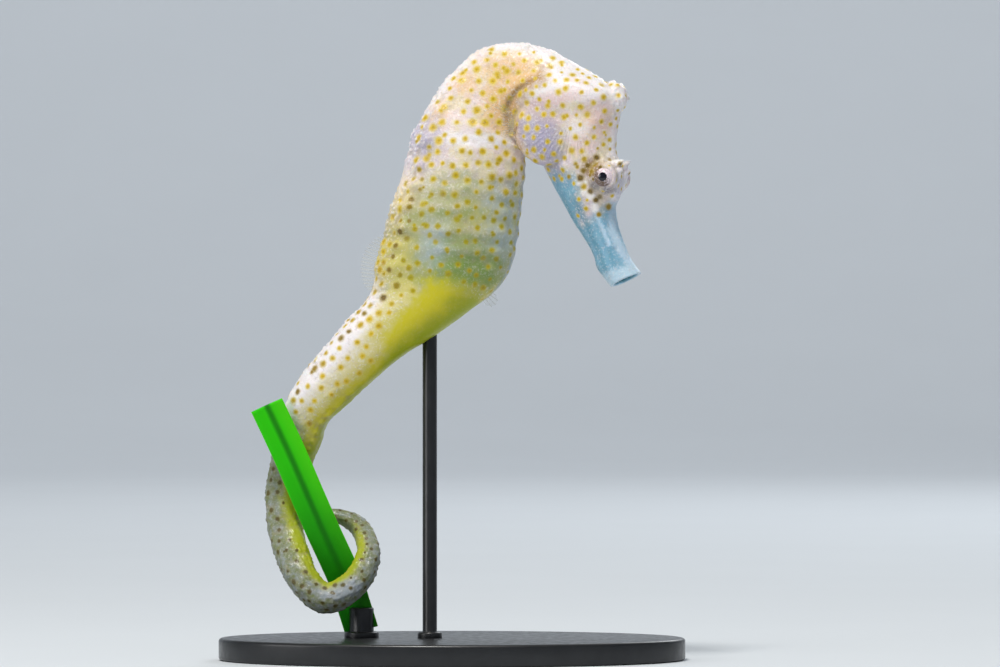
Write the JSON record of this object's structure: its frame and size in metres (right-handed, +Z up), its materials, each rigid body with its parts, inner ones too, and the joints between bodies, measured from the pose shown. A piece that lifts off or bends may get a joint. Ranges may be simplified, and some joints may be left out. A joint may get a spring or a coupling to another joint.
{
  "type": "seahorse",
  "caption": "Life-size seahorse holding a cut length of leaf blade with its tail, on a plain oval stand with upright rods.",
  "frame": {"origin": "centre of the underside of the stand's base", "axes": "+Z up; the animal's belly and snout face +X and its right side faces -Y"},
  "size_m": [0.084, 0.048, 0.1111],
  "materials": {
    "skin": "damp satin skin over bony plates, cream white with small amber spots",
    "pouch_skin": "smooth damp satin skin, mustard yellow",
    "snout_skin": "thin translucent bluish skin",
    "fin_membrane": "thin clear membrane between fine rays",
    "eye": "wet gloss, pale pink iris with brown flecks and a black pupil",
    "leaf": "satin, bright green with a darker fold and fine veins",
    "stand_paint": "satin black"
  },
  "bodies": {
    "root": {"head": "skin", "snout": "snout_skin", "coronet": "skin", "neck": "skin", "trunk": "skin", "brood_pouch": "pouch_skin", "tail_upper": "skin", "tail_middle": "skin", "tail_lower": "skin", "tail_hook": "skin", "tail_tip": "skin", "dorsal_fin": "fin_membrane", "anal_fin": "fin_membrane", "pectoral_fin_right": "fin_membrane", "pectoral_fin_left": "fin_membrane", "eye_right": "eye", "eye_left": "eye", "perch_blade": "leaf", "stand_base": "stand_paint", "stand_rod_body": "stand_paint", "stand_rod_perch": "stand_paint"}
  },
  "joints": []
}
